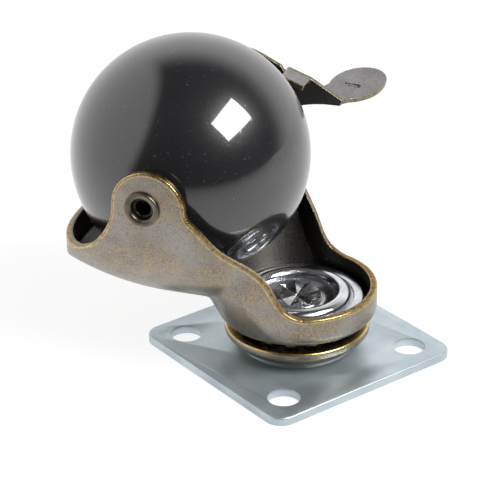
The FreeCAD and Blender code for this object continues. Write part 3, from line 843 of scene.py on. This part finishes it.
@dataclass
class SwivelHousing(PressedSheet):
    """Pressed housing that turns on the base and holds the ball's axle in its ears."""

    body: str = "swivel"
    rim_depth: float = 1.12
    rim_facing: float = 0.15
    axle_bore_mm: float = 1.25
    axle_bore_depth_mm: float = 3.0
    axle_cone_mm: float = 0.4
    axle_chamfer_mm: float = 0.15
    eyelet_wall_mm: float = 0.6
    eyelet_roll_mm: float = 0.6
    eyelet_throat_mm: Steps = ((0.50, -0.02), (0.28, -0.10), (0.1, -0.26), (0.0, -0.5))

    def build(self) -> None:
        """Build and dress the housing and what is fixed in its ears."""
        self.shell()
        self.eyelet("near_eyelet", Side.NEAR)
        self.eyelet("far_eyelet", Side.FAR)
        self.axle()
        self.washer("near_thrust_washer", Side.NEAR, BUSH_FINISH, 0.08)
        self.washer("far_thrust_washer", Side.FAR, BUSH_FINISH, 0.08)
        self.washer("lever_washer", Side.FAR, EYELET_FINISH, 0.12)

    def shell(self) -> None:
        """Pressed shell, gold along its sheared rims, with a near-black painted shade on its inner faces."""
        # Faces turned towards the ball's middle get the painted shade.
        piece = self.pressed("housing", "pressed_housing",
                             lambda place, normal: float(normal.dot(AXES.middle - place) > 0),
                             lambda _, normal: abs(normal.dot(AXES.axle)) < self.rim_facing)
        smooth(piece, 60)
        settle(piece, self.body, HOUSING_FINISH, ["housing"])

    def eyelet(self, node: str, side: Side) -> None:
        """Tubular eyelet with its mouth rolled over on the outer face."""
        place = AXES.axle_matrix(side)
        reach = Reach.of(node, place)
        tube = reach.bore + self.eyelet_wall_mm
        roll = self.eyelet_roll_mm
        corners = [(reach.bore, reach.low), (tube, reach.low), (tube, reach.high - roll)]
        lip = arc((reach.radius - roll / 2, reach.high - roll / 2), roll / 2, -90, 90, 10)
        throat = placed(self.eyelet_throat_mm, reach.bore, reach.high)
        piece = spun_piece(node.replace("eyelet", "rolled_eyelet"), corners + lip + throat, 96, place)
        settle(piece, self.body, EYELET_FINISH, [node])

    def axle(self) -> None:
        """Axle pin with a blind bore in each end."""
        place = AXES.axle_matrix()
        reach = Reach.of("axle", place)
        bore, depth, edge = self.axle_bore_mm, self.axle_bore_depth_mm, self.axle_chamfer_mm
        end = [(0.0, depth), (bore, depth - self.axle_cone_mm), (bore, edge), (bore + edge, 0.0),
               (reach.radius - edge, 0.0), (reach.radius, edge)]
        profile = [(radius, reach.low + inset) for radius, inset in end]
        profile += [(radius, reach.high - inset) for radius, inset in reversed(end)]
        piece = spun_piece("axle_pin", profile, 64, place)
        settle(piece, self.body, AXLE_FINISH, ["axle"])

    def washer(self, node: str, side: Side, finish: Finish, round_mm: float) -> None:
        """Flat washer with its edges broken."""
        place = AXES.axle_matrix(side)
        reach = Reach.of(node, place)
        corners = [(reach.bore, reach.low), (reach.radius, reach.low), (reach.radius, reach.high),
                   (reach.bore, reach.high)]
        piece = spun_piece(node.replace("washer", "disc"), rounded(corners, round_mm), 96, place)
        settle(piece, self.body, finish, [node])


@dataclass
class BallWheel:
    """Gloss ball with flat hubs and two flanged bushes."""

    body: str = "ball"
    hub_edge_mm: float = 0.35
    hub_step_mm: Pair = (0.22, 0.03)
    bore_edge_mm: float = 0.25
    sleeve_mm: float = 1.2
    flange_mm: float = 0.6
    bush_round_mm: float = 0.1
    segments: int = 192
    arc_steps: int = 120

    def build(self) -> None:
        """Build and dress the ball and its bushes."""
        self.ball()
        self.bush("near_bush", Side.NEAR)
        self.bush("far_bush", Side.FAR)

    def ball(self) -> None:
        """Ball turned from an arc, with broken edges at its flats and bore."""
        place = AXES.axle_matrix()
        reach = Reach.of("ball", place)
        low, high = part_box("ball")
        radius = (high[2] - low[2]) / 2 / MM
        flat, bore = reach.high, reach.bore
        flat_angle = math.degrees(math.asin(flat / radius))
        edge_angle = math.degrees(self.hub_edge_mm / radius)
        outside = arc((0, 0), radius, -flat_angle + edge_angle, flat_angle - edge_angle, self.arc_steps)
        rim = math.sqrt(radius ** 2 - flat ** 2) - self.hub_edge_mm
        profile = [(bore, -flat + self.bore_edge_mm), (bore + self.bore_edge_mm, -flat), (rim, -flat)]
        out, off = self.hub_step_mm
        profile += [(rim + out, -flat + off)] + outside + [(rim + out, flat - off)]
        profile += [(rim, flat), (bore + self.bore_edge_mm, flat), (bore, flat - self.bore_edge_mm)]
        piece = spun_piece("gloss_ball", profile, self.segments, place)
        settle(piece, self.body, BALL_FINISH, ["ball"])

    def bush(self, node: str, side: Side) -> None:
        """Flanged bush with its edges broken."""
        place = AXES.axle_matrix(side)
        reach = Reach.of(node, place)
        bore, sleeve = reach.bore, reach.bore + self.sleeve_mm
        flange = reach.high - self.flange_mm
        corners = [(bore, reach.low), (sleeve, reach.low), (sleeve, flange), (reach.radius, flange),
                   (reach.radius, reach.high), (bore, reach.high)]
        profile = rounded(corners, self.bush_round_mm)
        piece = spun_piece(node.replace("bush", "flanged_bush"), profile, 96, place)
        settle(piece, self.body, BUSH_FINISH, [node])


@dataclass
class BrakeLever(PressedSheet):
    """Foot lever on the far eyelet. Its slot is placed along the arm and out from the ball's middle."""

    sheet_mm: float = 0.9
    mesh_mm: float = 0.12
    kept_share: float = 0.6
    worn_mm: float = 0.6
    crease_steps: int = 0
    slot_mm: Pair = (19.6, 29.1)
    slot_reach_mm: float = 1.55
    slot_wall: float = 0.8
    arm_facing: float = 0.9
    arm_skin_mm: float = 0.15
    covered_shade: float = 0.85
    body: str = "brake"

    def build(self) -> None:
        """Build and dress the lever, with painted shade on its arm's face towards the ball and in its slot.
        """
        arm = Reach.of("lever_washer", AXES.axle_matrix()).high

        def covered(place: Vector, normal: Vector) -> bool:
            """Tell the arm's face towards the ball and the slot's walls."""
            off = (place - AXES.middle) / MM
            out = off.dot(AXES.axle)
            in_slot = math.dist((off.dot(AXES.along), out), self.slot_mm) < self.slot_reach_mm
            on_arm = abs(out - arm) < self.arm_skin_mm and normal.dot(AXES.axle) < -self.arm_facing
            return on_arm or (in_slot and normal.z < self.slot_wall)

        # The arm's face towards the ball and the slot's walls get the painted shade, scaled by
        # covered_shade.
        piece = self.pressed("brake_lever", "foot_lever",
                             lambda place, normal: self.covered_shade * float(covered(place, normal)),
                             lambda place, normal: not covered(place, normal))
        smooth(piece, 60)
        settle(piece, self.body, LEVER_FINISH, ["brake_lever"])


@dataclass(frozen=True)
class View:
    """The camera's stand: where it is and what it sees, fitted to the photograph."""

    azimuth: float = 51.4
    elevation: float = 26.9
    distance_mm: float = 350.0
    target_mm: tuple[float, float, float] = (0.0, 0.0, 20.0)
    target_pixel: Pair = (297.0, 243.0)
    pixels_per_mm: float = 6.0
    picture_pixels: int = 480
    sensor_mm: float = 36.0
    clip_m: Pair = (0.01, 20.0)

    def basis(self) -> tuple[Vector, Vector, Vector]:
        """Directions to the right, up and back towards the camera."""
        turn, lift = math.radians(self.azimuth), math.radians(self.elevation)
        back = Vector((math.sin(turn) * math.cos(lift), -math.cos(turn) * math.cos(lift), math.sin(lift)))
        right = Vector((math.cos(turn), math.sin(turn), 0.0))
        return right, back.cross(right), back


@dataclass(frozen=True)
class SoftBox:
    """A lamp with a flat front, placed by its direction from the ball: right, up and back of the picture."""

    name: str
    direction: tuple[float, float, float]
    distance_mm: float
    width_mm: float
    height_mm: float
    watts: float
    turn: float


@dataclass
class Studio:
    """Camera, lamps, floor and surroundings."""

    view: View = field(default_factory=View)
    lamps: tuple[SoftBox, ...] = (
        SoftBox("key", (0.628, 0.455, 0.635), 600.0, 365.0, 240.0, 3.8, 11.0),
    )
    floor_half_mm: float = 3000.0
    ambient: str = "#b4b4b4"
    dark_front: str = "#262628"
    floor_tone: str = "#848484"
    floor_glow: float = 0.86
    floor_fade_m: Pair = (0.10, 0.32)
    mirror_fade_m: Pair = (0.0, 0.34)
    mirror_least: float = 0.12
    dark_from: Pair = (-0.45, 0.10)
    wall_lean: float = 0.37
    wall_edge: Pair = (-0.80, -0.64)

    def build(self) -> None:
        """Set up the whole studio."""
        self.camera()
        for lamp in self.lamps:
            self.lamp(lamp)
        self.floor()
        self.surroundings()
        bpy.context.scene.view_settings.view_transform = "Standard"

    def camera(self) -> None:
        """Stand the camera where the photograph was taken from, turned a little to frame the castor."""
        view = self.view
        right, up, back = view.basis()
        data = bpy.data.cameras.new("camera")
        focal_pixels = view.pixels_per_mm * view.distance_mm
        data.sensor_width = view.sensor_mm
        data.lens = focal_pixels * view.sensor_mm / view.picture_pixels
        data.clip_start, data.clip_end = view.clip_m
        camera = put("camera", data)
        turn = Matrix((right, up, back)).transposed().to_4x4()
        middle = view.picture_pixels / 2
        across = math.atan((view.target_pixel[0] - middle) / focal_pixels)
        down = math.atan((view.target_pixel[1] - middle) / focal_pixels)
        aim = Matrix.Rotation(across, 4, "Y") @ Matrix.Rotation(down, 4, "X")
        place = Vector(view.target_mm) * MM + back * view.distance_mm * MM
        camera.matrix_world = Matrix.Translation(place) @ turn @ aim
        bpy.context.scene.camera = camera

    def lamp(self, lamp: SoftBox) -> None:
        """Hang a lamp that faces the ball."""
        right, up, back = self.view.basis()
        low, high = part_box("ball")
        ball = (Vector(low) + Vector(high)) / 2
        away = (right * lamp.direction[0] + up * lamp.direction[1] + back * lamp.direction[2]).normalized()
        data = bpy.data.lights.new(lamp.name, "AREA")
        data.shape = "RECTANGLE"
        data.size, data.size_y = lamp.width_mm * MM, lamp.height_mm * MM
        data.energy = lamp.watts
        piece = put(lamp.name, data)
        turn = away.to_track_quat("Z", "Y").to_matrix().to_4x4()
        piece.matrix_world = (Matrix.Translation(ball + away * lamp.distance_mm * MM) @ turn
                              @ Matrix.Rotation(math.radians(lamp.turn), 4, "Z"))

    def floor(self) -> None:
        """Lay the white floor: it keeps the castor's shadow and fades to plain white round it.

        In a mirror it darkens towards the photographer, as the room did in the photograph.
        """
        deselect_all()
        bpy.ops.mesh.primitive_plane_add(size=2 * self.floor_half_mm * MM)
        floor = bpy.context.object
        floor.name = "floor"
        made = bpy.data.materials.new("white_studio_floor")
        tree = emptied(made)
        place = (add_node(tree, "TexCoord"), "Object")
        length = add_node(tree, "VectorMath", {"operation": "LENGTH"}, {0: place})
        far = self.eased(tree, (length, "Value"), self.floor_fade_m)
        seen = self.seen_directly(tree)
        matt = add_node(tree, "BsdfDiffuse", inputs={"Color": self.floor_tone})
        glow = add_node(tree, "Emission", inputs={"Strength": self.floor_glow})
        dark = add_node(tree, "Emission", inputs={"Strength": 0.0})
        glow_seen = add_node(tree, "MixShader", inputs={0: seen, 1: (dark, 0), 2: (glow, 0)})
        near = add_node(tree, "AddShader", inputs={0: (matt, 0), 1: (glow_seen, 0)})
        white = add_node(tree, "Emission")
        soft = add_node(tree, "Emission", inputs={"Color": self.ambient})
        away = add_node(tree, "MixShader", inputs={0: seen, 1: (soft, 0), 2: (white, 0)})
        back = self.view.basis()[2]
        front = self.along(tree, place, Vector((back.x, back.y, 0.0)).normalized())
        fade = self.eased(tree, front, self.mirror_fade_m, self.mirror_least)
        outwards = add_node(tree, "VectorMath", {"operation": "NORMALIZE"}, {0: place})
        dark_floor = add_node(tree, "Math", {"operation": "MULTIPLY"},
                              {0: fade, 1: self.past_wall(tree, (outwards, 0))})
        mirrored = add_node(tree, "Math", {"operation": "MULTIPLY"},
                            {0: (dark_floor, "Value"), 1: (add_node(tree, "LightPath"), "Is Glossy Ray")})
        room = add_node(tree, "Emission", inputs={"Color": self.dark_front})
        both = add_node(tree, "MixShader", inputs={0: far, 1: (near, 0), 2: (away, 0)})
        faded = add_node(tree, "MixShader", inputs={0: (mirrored, 0), 1: (both, 0), 2: (room, 0)})
        add_node(tree, "OutputMaterial", inputs={"Surface": (faded, 0)})
        floor.data.materials.append(made)

    @staticmethod
    def eased(tree: Tree, factor: Link, limits: Pair, least: float = 0.0) -> Link:
        """Let a factor rise softly from least to one, between two limits."""
        node = add_node(tree, "MapRange", {"interpolation_type": "SMOOTHSTEP"},
                        {"Value": factor, "From Min": limits[0], "From Max": limits[1], "To Min": least})
        return (node, "Result")

    @staticmethod
    def along(tree: Tree, place: Link, way: Vector) -> Link:
        """Give how far a place or a direction lies along a way."""
        return (add_node(tree, "VectorMath", {"operation": "DOT_PRODUCT"}, {0: place, 1: way}), "Value")

    @staticmethod
    def seen_directly(tree: Tree) -> Link:
        """Give one for rays from the camera and rays seen in a reflection or through glass."""
        path = add_node(tree, "LightPath")
        first = add_node(tree, "Math", {"operation": "MAXIMUM"},
                         {0: (path, "Is Camera Ray"), 1: (path, "Is Glossy Ray")})
        both = add_node(tree, "Math", {"operation": "MAXIMUM"},
                        {0: (first, "Value"), 1: (path, "Is Transmission Ray")})
        return (both, "Value")

    def past_wall(self, tree: Tree, direction: Link) -> Link:
        """Give zero for directions onto the white wall at the picture's left, and one past it."""
        right, up, _ = self.view.basis()
        return self.eased(tree, self.along(tree, direction, right - up * self.wall_lean), self.wall_edge)

    def surroundings(self) -> None:
        """Light the studio softly: white behind the castor and at its left, dark round the photographer."""
        world = bpy.data.worlds.new("studio")
        bpy.context.scene.world = world
        tree = emptied(world)
        place = (add_node(tree, "TexCoord"), "Generated")
        shade = self.eased(tree, self.along(tree, place, self.view.basis()[2]), self.dark_from)
        dark = add_node(tree, "Math", {"operation": "MULTIPLY"}, {0: shade, 1: self.past_wall(tree, place)})
        mirrored = add_node(tree, "Mix", {"data_type": "RGBA"},
                            {0: (dark, "Value"), 6: "#ffffff", 7: self.dark_front})
        path = add_node(tree, "LightPath")
        glossy = add_node(tree, "Mix", {"data_type": "RGBA"},
                          {0: (path, "Is Glossy Ray"), 6: self.ambient, 7: (mirrored, 2)})
        clear = add_node(tree, "Math", {"operation": "MAXIMUM"},
                         {0: (path, "Is Camera Ray"), 1: (path, "Is Transmission Ray")})
        colour = add_node(tree, "Mix", {"data_type": "RGBA"},
                          {0: (clear, "Value"), 6: (glossy, 2), 7: "#ffffff"})
        sky = add_node(tree, "Background", inputs={"Color": (colour, 2)})
        add_node(tree, "OutputWorld", inputs={"Surface": (sky, 0)})


def main() -> None:
    """Build the castor's pieces and the studio in order."""
    logging.basicConfig(level=logging.INFO, format="%(name)s: %(message)s")
    for assembly in (SwivelBase(), SwivelHousing(), BallWheel(), BrakeLever(), Studio()):
        assembly.build()
        LOG.info("%s is done", type(assembly).__name__)


if __name__ == "__main__":
    main()
